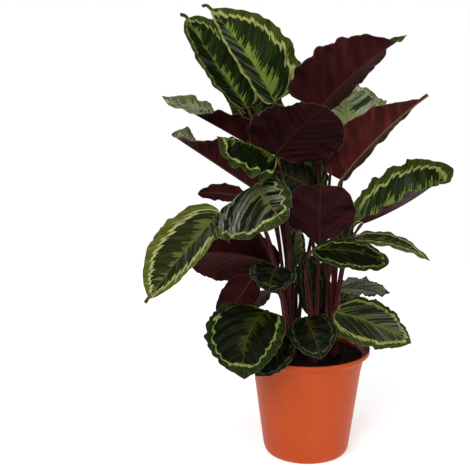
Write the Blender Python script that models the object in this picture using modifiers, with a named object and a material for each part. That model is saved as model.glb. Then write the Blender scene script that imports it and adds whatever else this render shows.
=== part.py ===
"""Potted calathea: a plastic nursery pot, its soil, five shoots and thirty-seven leaf blades.

Metres, +Z up. The origin is the middle of the flat boss under the pot, on the surface that it stands on.
The front of the plant faces -Y and its right side +X.
"""

from collections import namedtuple
from math import cos, pi, radians, sin

import bmesh
import bpy
import numpy as np
from mathutils import Vector

# Driving dimensions, in metres
POT_HEIGHT = 0.1485
RIM_RADIUS = 0.0850
LIP_HEIGHT = 0.0060
WALL_TOP_RADIUS = 0.0766
WALL_FOOT_RADIUS = 0.0588
WALL_THICKNESS = 0.0020
FOOT_RADIUS = 0.0538
FOOT_CORNER = 0.0090
FLOOR_HEIGHT = 0.0055
INNER_CORNER = 0.0030
LIP_WIDTH = 0.0070
LIP_TOP = 0.0018
LIP_RETURN = 0.0034
COVE_HEIGHT = 0.0080
EDGE = 0.0008
CHANNEL_DEPTH = 0.0030
CHANNEL_INNER = 0.0240
CHANNEL_OUTER = 0.0475
DRAIN_COUNT = 6
DRAIN_RADIUS = 0.0045
DRAIN_CIRCLE = 0.0360
SOIL_LEVEL = 0.1365
SOIL_MOUND = 0.0020
SOIL_RIPPLE = 0.0008
TOUCH = 0.0003
POT_SEGMENTS = 40

SHEATH_RADIUS = 0.0095
SHEATH_NECK = 0.0062
SHEATH_DEPTH = 0.0160
SHEATH_RISE = 0.0300
STALK_RADIUS = 0.0027
STALK_TIP_RADIUS = 0.0016
STALK_END_RADIUS = 0.0009
STALK_SPREAD = 0.0042
STALK_POINTS = 9

BLADE_THICKNESS = 0.0009
MIDRIB_THICKNESS = 0.0020
BLADE_CLEARANCE = 0.0007
LEAST_HALF_WIDTH = 1.8
HEART_LENGTH = 0.35
HEART_START = 0.006
WELD = 5e-6
MM = 0.001

# Where each shoot stands in the soil, in millimetres from the pot's axis
SHOOTS = {
    "shoot_left": (-24, -16),
    "shoot_front": (6, -30),
    "shoot_right": (33, -6),
    "shoot_rear_left": (-16, 24),
    "shoot_rear_right": (20, 28),
}

Leaf = namedtuple("Leaf", "name shoot base tip face width arch sway fold roll belly point foot skew "
                          "wave waves spin bend tail heart")


def leaf(name, shoot, base, tip, face, width, arch=0.08, sway=0.0, fold=(15, 15), roll=(25, 25),
         belly=0.85, point=0.35, foot=0.0, skew=0.0, wave=3.0, waves=4, spin=(0, 0.6), bend=0.0,
         tail=0.0, heart=0.0):
    """One blade. Base, tip, width and wave are in millimetres, fold, roll and spin in degrees.

    base and tip are the ends of the midrib and face is the way the upper side looks. arch lifts the
    midrib's middle towards face, and sway moves it to the left, as shares of the blade's length. fold
    raises the left and the right half from the midrib, and roll bends them down again towards their
    margins. belly below 1 puts the widest place nearer the base, point narrows the tip and foot the base.
    skew makes the left half wider and the right half narrower by its share. wave and waves are the height
    and the number of the margin's ripples. spin turns the tip by an angle, from a share of the length on.
    bend, from 0 to 1, curves the stalk over so that it arrives along the blade. tail is the share of the
    length that is a narrow drawn-out tip, and heart sets the blade's base back beside the stalk.
    """
    return Leaf(name, shoot, base, tip, face, width, arch, sway, fold, roll, belly, point, foot, skew,
                wave, waves, spin, bend, tail, heart)


LEAVES = [
    leaf("leaf_top_left_rear", "shoot_rear_left", (-81, 75, 465), (-170, 100, 594), (0.35, -0.9, 0.2), 96,
         arch=-0.03, fold=(50, 10), roll=(10, 20), belly=0.8, point=-0.1, foot=-0.25, tail=0.07),
    leaf("leaf_top_left", "shoot_rear_left", (-46, 46, 476), (-140, 66, 606), (0.15, -0.95, 0.2), 108,
         arch=0.03, sway=-0.04, fold=(60, 0), roll=(10, 10), belly=0.68, point=0.4, skew=-0.12, tail=0.07),
    leaf("leaf_top_right", "shoot_right", (16, 15, 474), (119, -15, 567), (0.0, 0.97, 0.15), 104,
         arch=-0.03, sway=-0.05, fold=(62, 0), roll=(10, 0), belly=0.45, point=0.6, skew=-0.12, heart=0.34,
         spin=(150, 0.74)),
    leaf("leaf_upper_left", "shoot_left", (-58, 0, 414), (-190, -40, 492), (0.0, 0.7, 0.6), 72, arch=0.03,
         sway=-0.02, fold=(15, 85), roll=(30, 20), belly=0.45, point=0.3, spin=(-110, 0.45)),
    leaf("leaf_upper_front", "shoot_left", (-47, -26, 415), (11, -104, 486), (0.09, 0.67, 0.74), 124,
         arch=0.05, fold=(8, 8), belly=0.8, point=0.2),
    leaf("leaf_small_left", "shoot_left", (-46, -54, 416), (-120, -98, 447), (0.1, -0.7, 0.7), 66,
         fold=(5, -35), point=-0.25, wave=4, waves=4, skew=0.35),
    leaf("leaf_middle_left", "shoot_left", (-63, -12, 362), (-179, -40, 444), (0.0, 0.8, 0.5), 86, arch=0.0,
         fold=(20, 72), roll=(50, 20), point=0.1, spin=(-60, 0.6)),
    leaf("leaf_side_left", "shoot_left", (-84, -5, 355), (-147, -20, 364), (0.0, 0.8, 0.5), 32,
         fold=(20, 20), wave=1.2, point=0.1),
    leaf("leaf_silvery_front", "shoot_left", (-75, -55, 381), (-41, -145, 351), (-0.5, -0.3, 0.85), 112,
         arch=0.06, fold=(8, 12), roll=(25, 30), belly=0.8, wave=4, waves=6, skew=-0.42, point=0.1),
    leaf("leaf_broad_left", "shoot_left", (-118, -34, 341), (-213, -80, 233), (-0.2, -0.9, 0.5), 98,
         arch=0.06, fold=(55, 0), belly=0.85, point=0.2, skew=-0.08, bend=1.0, wave=2.0, tail=0.05, heart=0.3),
    leaf("leaf_low_left", "shoot_left", (-39, 8, 259), (-163, -30, 283), (0.0, 0.95, 0.3), 96,
         fold=(60, 30), skew=-0.26, sway=0.04, wave=2.0),
    leaf("leaf_hanging_left", "shoot_left", (-72, -5, 250), (-118, -20, 180), (0.1, 0.9, 0.2), 52,
         fold=(30, 30), foot=0.4, bend=1.0, wave=1.5),
    leaf("leaf_pot_left", "shoot_left", (-59, -75, 222), (-87, -120, 145), (-0.1, -0.8, 0.6), 110, arch=0.2,
         sway=-0.09, fold=(30, 0), belly=0.75, skew=-0.12),
    leaf("leaf_rim_left", "shoot_left", (-34, -62, 185), (-72, -98, 141), (0.3, -0.8, 0.6), 50, arch=0.15),
    leaf("leaf_pot_front", "shoot_front", (-7, -55, 207), (11, -100, 165), (0.0, -0.8, 0.6), 62, arch=0.15),
    leaf("leaf_pot_right", "shoot_right", (33, -45, 211), (129, -75, 178), (0.0, -0.65, 0.75), 78,
         belly=0.7, fold=(5, 15), wave=2.0),
    leaf("leaf_thin_right", "shoot_right", (37, 10, 225), (113, 15, 220), (0.0, -0.15, 0.98), 62, wave=1.8),
    leaf("leaf_low_right", "shoot_front", (-1, -86, 304), (94, -96, 291), (0.0, -0.4, 0.9), 62, skew=-0.25,
         belly=1.0, wave=1.5, point=0.1),
    leaf("leaf_arching_right", "shoot_right", (50, 5, 295), (161, -10, 271), (0.0, -0.3, 0.95), 60,
         arch=0.13, fold=(5, 28), wave=1.3),
    leaf("leaf_folded_right", "shoot_right", (67, -35, 328), (178, -50, 402), (-0.3, 0.0, 1.0), 104,
         arch=-0.05, fold=(68, 26), roll=(20, 10), foot=-0.3, point=0.1, wave=2.2, spin=(40, 0.6)),
    leaf("leaf_long_right", "shoot_right", (39, -20, 382), (143, -50, 494), (-0.1, 0.9, 0.2), 68, arch=0.0,
         sway=-0.04, fold=(62, 34), belly=0.55, point=0.6, skew=-0.25, tail=0.04, heart=0.15),
    leaf("leaf_pale_right", "shoot_rear_right", (54, 48, 437), (47, 105, 501), (0.1, -0.9, 0.5), 128,
         fold=(20, 5), belly=0.7),
    leaf("leaf_centre", "shoot_front", (11, -38, 293), (9, -70, 384), (0.1, 0.9, 0.1), 92, arch=-0.14,
         fold=(20, 20), belly=1.5, point=-0.3, foot=1.1),
    leaf("leaf_inner_left", "shoot_rear_left", (4, 10, 366), (-63, -5, 399), (0.0, -0.9, 0.4), 60),
    leaf("leaf_bud_right", "shoot_right", (42, -45, 300), (34, -42, 345), (0.1, -0.9, 0.3), 32),
    leaf("leaf_crinkled_front", "shoot_left", (-46, -62, 276), (-57, -104, 254), (0.0, -0.6, 0.8), 60,
         arch=0.15, wave=5),
    leaf("leaf_inner_low", "shoot_rear_right", (6, 2, 191), (-4, -4, 282), (0.3, -0.9, 0.2), 44,
         belly=1.15),
    leaf("leaf_inner_small", "shoot_rear_left", (-16, 10, 260), (-18, 12, 319), (0.0, -0.9, 0.3), 26),
    leaf("leaf_inner_right", "shoot_rear_right", (4, 42, 344), (4, 60, 410), (0.1, -0.9, 0.3), 48),
    leaf("leaf_rear_centre", "shoot_rear_left", (-15, 75, 362), (-12, 100, 467), (0.0, -0.9, 0.4), 60),
    leaf("leaf_rear_right", "shoot_rear_right", (50, 50, 303), (158, 110, 351), (-0.2, -0.4, 0.9), 46,
         wave=1.8),
    leaf("leaf_rear_left", "shoot_rear_left", (-85, 50, 286), (-200, 120, 255), (0.1, -0.5, 0.85), 80),
    leaf("leaf_rear_low", "shoot_rear_right", (6, 45, 223), (43, 130, 130), (0.0, 0.1, 1.0), 70, arch=0.2),
    leaf("leaf_rear_low_right", "shoot_rear_right", (47, 35, 204), (120, 100, 144), (0.1, 0.0, 1.0), 58,
         arch=0.15, wave=2.2),
    leaf("leaf_rear_top_left", "shoot_rear_left", (-52, 95, 405), (-91, 150, 529), (0.1, -0.9, 0.4), 76),
    leaf("leaf_rear_top_right", "shoot_rear_right", (38, 85, 410), (63, 140, 507), (-0.1, -0.9, 0.4), 60),
    leaf("leaf_rear_low_left", "shoot_rear_left", (-29, 40, 214), (-83, 105, 144), (0.0, 0.1, 1.0), 56,
         arch=0.2),
]

# Rows from base to tip and columns on each side of the midrib: for blades at least as wide as LARGE_BLADE,
# and for the others
LARGE_BLADE = 84
LARGE_GRID = (12, 3)
SMALL_GRID = (8, 2)


def unit(vector):
    """The vector at length 1."""
    vector = np.asarray(vector, float)
    return vector / np.linalg.norm(vector)


def turned(vector, axis, angle):
    """The vector turned about a unit axis by an angle in radians."""
    side = np.cross(axis, vector)
    return vector * cos(angle) + side * sin(angle) + axis * np.dot(axis, vector) * (1 - cos(angle))


def half_width(u, blade):
    """Half the blade's width at u along the midrib, as a share of its widest."""
    u = min(u / (1.0 - blade.tail), 1.0)
    if blade.heart:
        u = HEART_START + (1.0 - HEART_START) * u
    x = 2.0 * u ** blade.belly - 1.0
    power = 0.5 + blade.point * max(x, 0.0) ** 1.5 + blade.foot * max(-x, 0.0) ** 1.5
    return max(1.0 - x * x, 0.0) ** power


def midrib(blade, u):
    """The midrib's point at u, from 0 at the stalk to 1 at the tip, with the blade's face direction."""
    base = np.array(blade.base) * MM
    chord = np.array(blade.tip) * MM - base
    length = np.linalg.norm(chord)
    along = chord / length
    face = np.array(blade.face, float)
    face = unit(face - along * np.dot(face, along))
    left = np.cross(face, along)
    bow = 4 * u * (1 - u) * length
    return base + chord * u + face * (blade.arch * bow) + left * (blade.sway * bow), face


def midrib_direction(blade, u):
    """The way the midrib runs at u."""
    step = 0.001
    return unit(midrib(blade, min(1, u + step))[0] - midrib(blade, max(0, u - step))[0])


def tip_turn(blade, u):
    """How far the blade's tip is turned about the midrib at u, in radians."""
    angle, start = blade.spin
    return radians(angle) * max(0.0, (u - start) / (1.0 - start)) ** 1.3


def blade_points(blade, rows, columns, seed):
    """The blade's middle surface as rows from base to tip, each from the left margin to the right one."""
    share = np.linspace(0, 1, rows + 1)
    places = 0.55 * share + 0.45 * (0.5 - 0.5 * np.cos(pi * share))
    directions = [midrib_direction(blade, u) for u in places]
    middle = rows // 2
    normals = [midrib(blade, 0.5)[1]] * (rows + 1)
    for order in (range(middle, rows + 1), range(middle, -1, -1)):
        normal = normals[middle]
        for i in order:
            normal = unit(normal - directions[i] * np.dot(normal, directions[i]))
            normals[i] = normal
    phases = np.random.default_rng(seed).uniform(0, 2 * pi, 4)
    bend_steps = 6
    points = []
    for i, u in enumerate(places):
        normal = turned(normals[i], directions[i], tip_turn(blade, u))
        left = np.cross(normal, directions[i])
        share_of_width = half_width(u, blade)
        halves = [max(0.5 * blade.width * share_of_width * lean, LEAST_HALF_WIDTH) * MM
                  for lean in (1 + blade.skew, 1 - blade.skew)]
        row = []
        for j in range(-columns, columns + 1):
            across = abs(j) / columns
            side = 0 if j < 0 else 1
            half = halves[side]
            out = up = 0.0
            for k in range(bend_steps):
                angle = radians(blade.fold[side] - blade.roll[side] * (k + 0.5) / bend_steps * across)
                out += cos(angle) * across / bend_steps
                up += sin(angle) * across / bend_steps
            swell = sin(2 * pi * blade.waves * u + phases[2 * side])
            swell += 0.5 * sin(2 * pi * 1.7 * blade.waves * u + phases[2 * side + 1])
            lift = blade.wave * MM * across ** 2.5 * share_of_width ** 0.5 * swell
            sideways = half * out * (1, -1)[side]
            back = blade.heart * half * across * (2 - across) * max(0.0, 1.0 - u / HEART_LENGTH) ** 2
            row.append(midrib(blade, u)[0] + left * sideways + normal * (half * up + lift)
                       - directions[i] * back)
        points.append(row)
    return points


def make_material(name, colour, roughness, metallic=0.0):
    """A Principled material of one colour."""
    material = bpy.data.materials.new(name)
    material.use_nodes = True
    shader = material.node_tree.nodes["Principled BSDF"]
    shader.inputs["Base Color"].default_value = (*colour, 1.0)
    shader.inputs["Roughness"].default_value = roughness
    shader.inputs["Metallic"].default_value = metallic
    return material


def add_object(name, mesh, collection, material=None):
    """Link a mesh as a named object."""
    thing = bpy.data.objects.new(name, mesh)
    collection.objects.link(thing)
    if material:
        mesh.materials.clear()
        mesh.materials.append(material)
    return thing


def evaluated_mesh(thing):
    """The mesh of an object with its modifiers or bevel applied."""
    graph = bpy.context.evaluated_depsgraph_get()
    return bpy.data.meshes.new_from_object(thing.evaluated_get(graph))


def apply_modifiers(thing):
    """Replace an object's mesh with its evaluated one."""
    mesh = evaluated_mesh(thing)
    thing.modifiers.clear()
    thing.data = mesh


def turn_profile(name, profile, collection, material):
    """A solid of revolution from a profile of (radius, height) points."""
    mesh = bpy.data.meshes.new(name)
    points = [(radius, 0.0, height) for radius, height in profile]
    mesh.from_pydata(points, [(i, i + 1) for i in range(len(points) - 1)], [])
    thing = add_object(name, mesh, collection, material)
    screw = thing.modifiers.new("turn", "SCREW")
    screw.steps = POT_SEGMENTS
    screw.render_steps = POT_SEGMENTS
    screw.use_merge_vertices = True
    screw.merge_threshold = 0.0001
    screw.use_smooth_shade = True
    apply_modifiers(thing)
    return thing


def cut_cylinders(thing, places, radius, low, high, cutters):
    """Cut upright round holes at the given places through or into an object."""
    for x, y in places:
        bpy.ops.mesh.primitive_cylinder_add(vertices=16, radius=radius, depth=high - low,
                                            location=(x, y, 0.5 * (low + high)))
        cutter = bpy.context.object
        for owner in list(cutter.users_collection):
            owner.objects.unlink(cutter)
        cutters.objects.link(cutter)
        cut = thing.modifiers.new("hole", "BOOLEAN")
        cut.operation = "DIFFERENCE"
        cut.object = cutter
    apply_modifiers(thing)
    for cutter in list(cutters.objects):
        bpy.data.objects.remove(cutter)


def inner_radius(height):
    """The pot's inside radius at a height above its floor."""
    slope = (WALL_TOP_RADIUS - WALL_FOOT_RADIUS) / (POT_HEIGHT - LIP_HEIGHT - FOOT_CORNER)
    return WALL_FOOT_RADIUS + slope * (height - FOOT_CORNER) - WALL_THICKNESS


def build_pot(parts, cutters, material):
    """The pot: flared lip, tapered wall, rounded foot, and a drained channel round a flat boss."""
    lip_foot = POT_HEIGHT - LIP_HEIGHT
    floor_corner = FLOOR_HEIGHT + INNER_CORNER
    flare_foot = lip_foot - INNER_CORNER
    profile = [
        (0.0, FLOOR_HEIGHT),
        (inner_radius(floor_corner) - INNER_CORNER, FLOOR_HEIGHT),
        (inner_radius(floor_corner), floor_corner),
        (inner_radius(flare_foot), flare_foot),
        (RIM_RADIUS - LIP_WIDTH, lip_foot + EDGE),
        (RIM_RADIUS - LIP_TOP - EDGE, POT_HEIGHT - EDGE),
        (RIM_RADIUS - LIP_TOP, POT_HEIGHT),
        (RIM_RADIUS - EDGE, POT_HEIGHT),
        (RIM_RADIUS, POT_HEIGHT - EDGE),
        (RIM_RADIUS, lip_foot + EDGE),
        (RIM_RADIUS - EDGE, lip_foot),
        (RIM_RADIUS - LIP_RETURN, lip_foot - EDGE),
        (WALL_TOP_RADIUS + 2 * EDGE, lip_foot - 0.5 * COVE_HEIGHT),
        (WALL_TOP_RADIUS, lip_foot - COVE_HEIGHT),
        (WALL_FOOT_RADIUS, FOOT_CORNER),
        (WALL_FOOT_RADIUS - 0.25 * (WALL_FOOT_RADIUS - FOOT_RADIUS), 0.45 * FOOT_CORNER),
        (WALL_FOOT_RADIUS - 0.55 * (WALL_FOOT_RADIUS - FOOT_RADIUS), 0.15 * FOOT_CORNER),
        (FOOT_RADIUS, 0.0),
        (CHANNEL_OUTER + EDGE, 0.0),
        (CHANNEL_OUTER, CHANNEL_DEPTH),
        (CHANNEL_INNER, CHANNEL_DEPTH),
        (CHANNEL_INNER - EDGE, 0.0),
        (0.0, 0.0),
    ]
    pot = turn_profile("pot", profile, parts, material)
    places = []
    for i in range(DRAIN_COUNT):
        angle = 2 * pi * (i + 0.5) / DRAIN_COUNT
        places.append((DRAIN_CIRCLE * cos(angle), DRAIN_CIRCLE * sin(angle)))
    cut_cylinders(pot, places, DRAIN_RADIUS, 0.0, floor_corner, cutters)
    pot.data.set_sharp_from_angle(angle=radians(40))
    return pot


def build_soil(parts, cutters, material):
    """The soil: it fills the pot to its level, slightly mounded, with a plain hole for each shoot."""
    floor = FLOOR_HEIGHT + TOUCH
    floor_corner = floor + INNER_CORNER
    side_gap = 1.3 * TOUCH
    edge = inner_radius(SOIL_LEVEL) - side_gap
    profile = [
        (0.0, SOIL_LEVEL + SOIL_MOUND),
        (edge * 0.30, SOIL_LEVEL + SOIL_MOUND * 0.9),
        (edge * 0.60, SOIL_LEVEL + SOIL_MOUND * 0.6),
        (edge * 0.85, SOIL_LEVEL + SOIL_MOUND * 0.2),
        (edge, SOIL_LEVEL),
        (inner_radius(floor_corner) - side_gap, floor_corner),
        (inner_radius(floor_corner) - INNER_CORNER - side_gap, floor),
        (0.0, floor),
    ]
    soil = turn_profile("potting_soil", profile, parts, material)
    for vertex in soil.data.vertices:
        x, y, z = vertex.co
        if z > SOIL_LEVEL - TOUCH and x * x + y * y < (edge * 0.9) ** 2:
            vertex.co.z += SOIL_RIPPLE * (sin(190 * x + 1.0) + sin(230 * y) + sin(150 * (x + y) + 2.0))
    places = [(x * MM, y * MM) for x, y in SHOOTS.values()]
    hole_floor = SOIL_LEVEL - SHEATH_DEPTH - TOUCH
    cut_cylinders(soil, places, SHEATH_RADIUS + TOUCH * 1.5, hole_floor, POT_HEIGHT, cutters)
    return soil


def stalk_path(blade):
    """The centre line of a blade's stalk, from inside its shoot's sheath to just short of the blade."""
    crown = np.array([SHOOTS[blade.shoot][0] * MM, SHOOTS[blade.shoot][1] * MM, SOIL_LEVEL])
    base = np.array(blade.base) * MM
    outward = base - crown
    start = crown + STALK_SPREAD * unit((outward[0], outward[1], 0.0))
    start[2] = SOIL_LEVEL - 0.4 * SHEATH_DEPTH
    direction = midrib_direction(blade, 0.0)
    rise = base - start
    over = unit((direction[0], direction[1], max(direction[2], 0.35 - 0.25 * blade.bend)))
    arrival = unit((0.5 + 0.5 * blade.bend) * over + (0.5 - 0.5 * blade.bend) * unit(rise))
    turn = 1.0 - np.dot(arrival, direction)
    end = base - arrival * BLADE_CLEARANCE * (1.0 + turn)
    first = start + np.array([0.05 * rise[0], 0.05 * rise[1], 0.55 * rise[2]])
    second = end - arrival * (0.18 + 0.17 * blade.bend) * np.linalg.norm(rise)
    points = []
    for t in np.linspace(0, 1, STALK_POINTS):
        s = 1 - t
        points.append(s ** 3 * start + 3 * s * s * t * first + 3 * s * t * t * second + t ** 3 * end)
    return points


def make_stalk(blade, collection):
    """A stalk as a closed, tapering tube mesh."""
    curve = bpy.data.curves.new("stalk", "CURVE")
    curve.dimensions = "3D"
    curve.bevel_depth = STALK_RADIUS
    curve.bevel_resolution = 1
    curve.use_fill_caps = True
    path = stalk_path(blade)
    spline = curve.splines.new("POLY")
    spline.points.add(len(path) - 1)
    for i, point in enumerate(path):
        taper = i / (len(path) - 1)
        spline.points[i].co = (*point, 1.0)
        spline.points[i].radius = 1.0 + (STALK_TIP_RADIUS / STALK_RADIUS - 1.0) * taper
    spline.points[-1].radius = STALK_END_RADIUS / STALK_RADIUS
    rod = bpy.data.objects.new("stalk", curve)
    collection.objects.link(rod)
    mesh = evaluated_mesh(rod)
    bpy.data.objects.remove(rod)
    shape = bmesh.new()
    shape.from_mesh(mesh)
    bmesh.ops.remove_doubles(shape, verts=shape.verts, dist=WELD)
    shape.to_mesh(mesh)
    shape.free()
    return add_object("stalk", mesh, collection)


def build_shoot(name, parts, cutters, material):
    """A shoot: the sheath that stands in the soil, with the stalks that rise from it fused on."""
    x, y = (value * MM for value in SHOOTS[name])
    bpy.ops.mesh.primitive_cone_add(vertices=12, radius1=SHEATH_RADIUS, radius2=SHEATH_NECK,
                                    depth=SHEATH_DEPTH + SHEATH_RISE,
                                    location=(x, y, SOIL_LEVEL + 0.5 * (SHEATH_RISE - SHEATH_DEPTH)))
    shoot = bpy.context.object
    for owner in list(shoot.users_collection):
        owner.objects.unlink(shoot)
    parts.objects.link(shoot)
    shoot.name = name
    for blade in LEAVES:
        if blade.shoot == name:
            make_stalk(blade, cutters)
    union = shoot.modifiers.new("stalks", "BOOLEAN")
    union.operation = "UNION"
    union.operand_type = "COLLECTION"
    union.collection = cutters
    apply_modifiers(shoot)
    for rod in list(cutters.objects):
        bpy.data.objects.remove(rod)
    shape = bmesh.new()
    shape.from_mesh(shoot.data)
    bmesh.ops.remove_doubles(shape, verts=shape.verts, dist=WELD)
    bmesh.ops.triangulate(shape, faces=shape.faces)
    shape.to_mesh(shoot.data)
    shape.free()
    shoot.data.materials.clear()
    shoot.data.materials.append(material)
    shoot.data.shade_smooth()
    return shoot


def build_blade(blade, seed, parts, material):
    """A leaf blade: a triangulated waved sheet, thickened, and thickest along the midrib."""
    rows, columns = LARGE_GRID if blade.width >= LARGE_BLADE else SMALL_GRID
    grid = blade_points(blade, rows, columns, seed)
    shape = bmesh.new()
    first = shape.verts.new(grid[0][columns])
    last = shape.verts.new(grid[rows][columns])
    lines = [[shape.verts.new(point) for point in row] for row in grid[1:rows]]
    for a, b in zip(lines, lines[1:]):
        for j in range(2 * columns):
            shape.faces.new((a[j], a[j + 1], b[j + 1], b[j]))
    for j in range(2 * columns):
        shape.faces.new((first, lines[0][j + 1], lines[0][j]))
        shape.faces.new((last, lines[-1][j], lines[-1][j + 1]))
    bmesh.ops.triangulate(shape, faces=shape.faces)
    bmesh.ops.recalc_face_normals(shape, faces=shape.faces)
    shape.normal_update()
    middle = shape.verts[:]
    shape.verts.index_update()
    upward = sum((vert.normal for vert in middle), Vector())
    if upward.dot(Vector(unit(blade.face))) < 0:
        bmesh.ops.reverse_faces(shape, faces=shape.faces)
    ribs = [first.index, last.index] + [line[columns].index for line in lines]
    mesh = bpy.data.meshes.new(blade.name)
    shape.to_mesh(mesh)
    shape.free()
    thing = add_object(blade.name, mesh, parts, material)
    group = thing.vertex_groups.new(name="thickness")
    group.add(list(range(len(mesh.vertices))), BLADE_THICKNESS / MIDRIB_THICKNESS, "REPLACE")
    group.add(ribs[2:], 1.0, "REPLACE")
    thicken = thing.modifiers.new("thickness", "SOLIDIFY")
    thicken.thickness = MIDRIB_THICKNESS
    thicken.offset = -1.0
    thicken.vertex_group = "thickness"
    mesh.shade_smooth()
    return thing


def main():
    """Build the whole plant in one collection."""
    for thing in list(bpy.data.objects):
        bpy.data.objects.remove(thing)
    parts = bpy.data.collections.new("potted_calathea")
    cutters = bpy.data.collections.new("cutters")
    for collection in (parts, cutters):
        bpy.context.scene.collection.children.link(collection)
    build_pot(parts, cutters, make_material("terracotta plastic", (0.53, 0.10, 0.035), 0.45))
    build_soil(parts, cutters, make_material("peat soil", (0.020, 0.012, 0.010), 0.95))
    for name in SHOOTS:
        build_shoot(name, parts, cutters, make_material(name + " skin", (0.12, 0.022, 0.020), 0.45))
    for seed, blade in enumerate(LEAVES, 1):
        build_blade(blade, seed, parts, make_material(blade.name + " skin", (0.045, 0.11, 0.028), 0.4))


main()
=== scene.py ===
"""Potted calathea: finer leaves, stalks, soil and pot over the solid model, with a camera and soft light.

Metres, +Z up. The front of the plant faces -Y and its right side +X.
"""

from collections import namedtuple
from math import cos, pi, radians, sin, sqrt

import bmesh
import bpy
import numpy as np
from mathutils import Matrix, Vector


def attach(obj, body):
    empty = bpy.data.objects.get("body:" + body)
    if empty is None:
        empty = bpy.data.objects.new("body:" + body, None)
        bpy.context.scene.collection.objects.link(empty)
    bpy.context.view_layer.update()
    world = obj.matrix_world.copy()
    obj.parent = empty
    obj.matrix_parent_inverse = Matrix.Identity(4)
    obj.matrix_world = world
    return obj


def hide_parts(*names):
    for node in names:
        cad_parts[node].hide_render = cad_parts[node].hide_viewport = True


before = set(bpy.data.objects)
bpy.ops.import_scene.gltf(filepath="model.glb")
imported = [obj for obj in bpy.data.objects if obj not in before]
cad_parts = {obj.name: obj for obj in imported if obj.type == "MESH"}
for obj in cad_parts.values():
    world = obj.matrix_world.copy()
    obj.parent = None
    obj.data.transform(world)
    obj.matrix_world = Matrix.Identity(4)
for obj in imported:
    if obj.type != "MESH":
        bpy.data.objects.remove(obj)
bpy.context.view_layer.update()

MM = 0.001

# The camera, placed so that the pot's rim and foot match the photograph
CAMERA_PLACE = (-0.0986, -1.4, 0.617)
CAMERA_PITCH = 12.6
CAMERA_LENS = 82.4
CAMERA_SENSOR = 36.0

# Sizes shared with the solid model, in metres
POT_HEIGHT = 0.1485
RIM_RADIUS = 0.0850
LIP_HEIGHT = 0.0060
WALL_TOP_RADIUS = 0.0766
WALL_FOOT_RADIUS = 0.0588
WALL_THICKNESS = 0.0020
FOOT_RADIUS = 0.0538
FOOT_CORNER = 0.0090
FLOOR_HEIGHT = 0.0055
INNER_CORNER = 0.0030
LIP_WIDTH = 0.0070
LIP_TOP = 0.0018
LIP_RETURN = 0.0034
COVE_HEIGHT = 0.0080
CHANNEL_DEPTH = 0.0030
CHANNEL_INNER = 0.0240
CHANNEL_OUTER = 0.0475
DRAIN_COUNT = 6
DRAIN_RADIUS = 0.0045
DRAIN_CIRCLE = 0.0360
SOIL_LEVEL = 0.1365
SOIL_MOUND = 0.0020
SHEATH_RADIUS = 0.0095
SHEATH_NECK = 0.0062
SHEATH_DEPTH = 0.0160
SHEATH_RISE = 0.0300
STALK_SPREAD = 0.0042
BLADE_CLEARANCE = 0.0007

# Where each shoot stands in the soil, in millimetres from the pot's axis
SHOOTS = {
    "shoot_left": (-24, -16),
    "shoot_front": (6, -30),
    "shoot_right": (33, -6),
    "shoot_rear_left": (-16, 24),
    "shoot_rear_right": (20, 28),
}

# A blade has the same values here as in the solid model. base and tip are the ends of the midrib and face
# is the way the upper side looks. arch lifts the midrib's middle towards face, and sway moves it to the
# left, as shares of the blade's length. fold raises the left and the right half from the midrib, and roll
# bends them down again towards their margins. belly below 1 puts the widest place nearer the base, point
# narrows the tip and foot the base. skew makes the left half wider and the right half narrower by its
# share. wave and waves are the height and the number of the margin's ripples. spin turns the tip by an
# angle, from a share of the length on. bend, from 0 to 1, curves the stalk over so that it arrives along
# the blade. tail is the share of the length that is a narrow drawn-out tip, and heart sets the blade's
# base back beside the stalk.
LEAF_DEFAULTS = {"arch": 0.08, "sway": 0.0, "fold": (15, 15), "roll": (25, 25), "belly": 0.85, "point": 0.35,
                 "foot": 0.0, "skew": 0.0, "wave": 3.0, "waves": 4, "spin": (0, 0.6), "bend": 0.0,
                 "tail": 0.0, "heart": 0.0}
Leaf = namedtuple("Leaf", ["name", "shoot", "base", "tip", "face", "width", *LEAF_DEFAULTS],
                  defaults=LEAF_DEFAULTS.values())
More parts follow.
